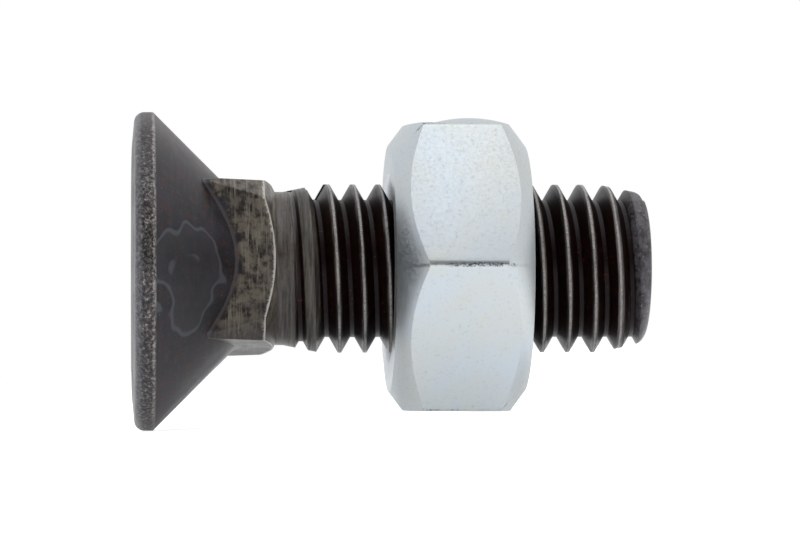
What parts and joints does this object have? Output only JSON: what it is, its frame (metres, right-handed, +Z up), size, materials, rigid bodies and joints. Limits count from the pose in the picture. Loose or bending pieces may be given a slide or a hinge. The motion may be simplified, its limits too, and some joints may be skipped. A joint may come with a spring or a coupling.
{
  "type": "countersunk square neck bolt with hexagon nut",
  "caption": "Short dark steel bolt with a countersunk head and square neck, lying on its side with a bright zinc hexagon nut part way along its thread.",
  "frame": {"origin": "floor level, under the middle of the bolt and nut's bounding box, as they lie on their side", "axes": "+X towards the threaded tip, +Z up; the bolt's axis dips 3.1 degrees below +X, because the head's rim and the nut's lower flat touch the floor"},
  "size_m": [0.0308, 0.0192, 0.0187],
  "materials": {
    "bolt": "black oxide, lightly worn and stained",
    "hex_nut": "bright zinc plate, blue passivated"
  },
  "bodies": {
    "bolt": {"bolt": "bolt"},
    "nut": {"hex_nut": "hex_nut"}
  },
  "joints": [
    {"name": "nut_travel", "type": "slide", "parent": "bolt", "child": "nut", "axis": [0.9985, 0, -0.0543], "range_m": [-0.0045, 0.015]}
  ]
}
